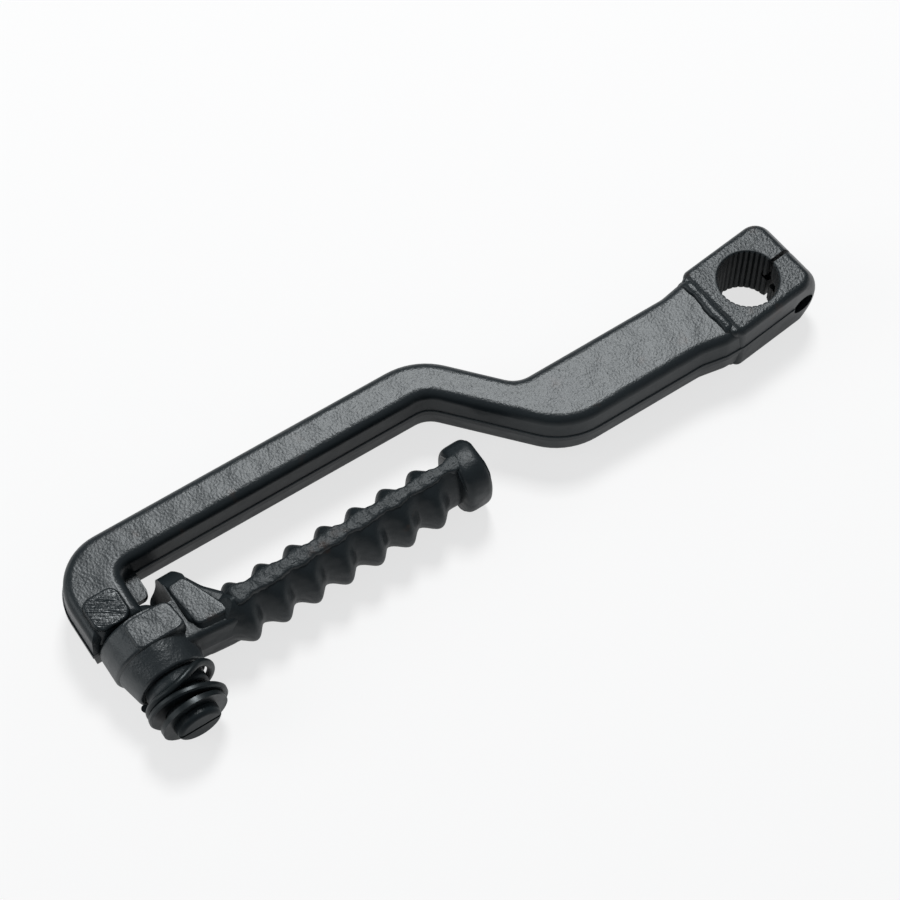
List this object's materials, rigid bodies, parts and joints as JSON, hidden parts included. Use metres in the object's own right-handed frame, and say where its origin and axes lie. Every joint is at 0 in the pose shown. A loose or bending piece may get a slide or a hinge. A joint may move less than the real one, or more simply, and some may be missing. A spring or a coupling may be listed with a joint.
{
  "type": "kick start lever",
  "caption": "Forged kick start lever with a splined split clamp boss, a cranked arm and a ribbed folding pedal held on its pin by a spring, washer and clip.",
  "frame": {"origin": "on the axis of the splined clamp bore, halfway through the boss", "axes": "+Z along the bore, +X from the bore towards the pedal end, +Y along the pedal's pin to its clip"},
  "size_m": [0.211, 0.0564, 0.0228],
  "materials": {
    "black_forging": "semi-gloss black paint over as-forged steel",
    "black_hardware": "smooth black oxide on turned, rolled or stamped steel"
  },
  "bodies": {
    "lever": {"lever_arm": "black_forging", "hub_spring": "black_hardware", "retaining_washer": "black_hardware", "retaining_clip": "black_hardware"},
    "pedal": {"kick_pedal": "black_forging"}
  },
  "joints": [
    {"name": "pedal_fold", "type": "hinge", "parent": "lever", "child": "pedal", "pos_m": [0.1805, 0.0041, 0], "axis": [0, 1, 0], "range_deg": [0, 90]}
  ]
}
